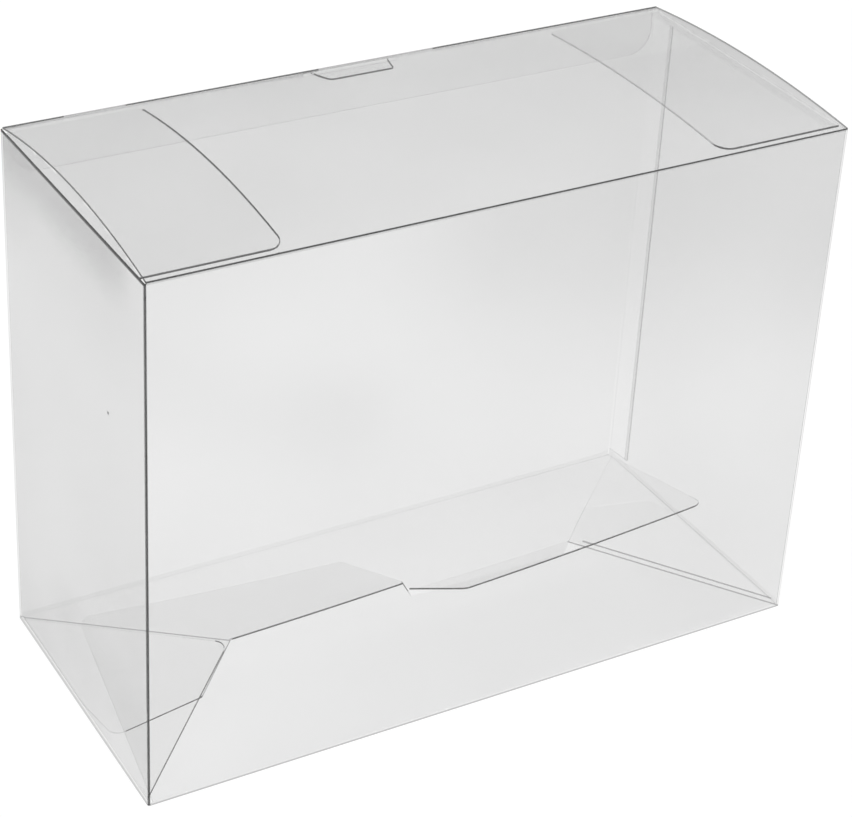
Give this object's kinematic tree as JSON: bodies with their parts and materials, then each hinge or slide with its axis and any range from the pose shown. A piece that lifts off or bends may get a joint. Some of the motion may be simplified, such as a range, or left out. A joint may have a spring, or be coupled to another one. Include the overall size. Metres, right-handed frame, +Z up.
{
  "type": "figure box protector",
  "caption": "Clear folding film box that slips over a boxed collectible figure, with a crash-lock bottom and a hinged tuck lid locked by a small tab.",
  "frame": {"origin": "under the middle of the box, on the surface that its walls stand on", "axes": "+X along the width, to the right as seen from the front; +Y to the back, where the lid tucks in; +Z up; the lid is hinged along the front top edge"},
  "size_m": [0.21, 0.094, 0.1656],
  "materials": {
    "case_film": "clear, glossy PET film",
    "lid_film": "clear, glossy PET film"
  },
  "bodies": {
    "case": {"case": "case_film"},
    "lid": {"lid": "lid_film"}
  },
  "joints": [
    {"name": "lid_hinge", "type": "hinge", "parent": "case", "child": "lid", "pos_m": [0, -0.04675, 0.16075], "axis": [1, 0, 0], "range_deg": [0, 180]}
  ]
}
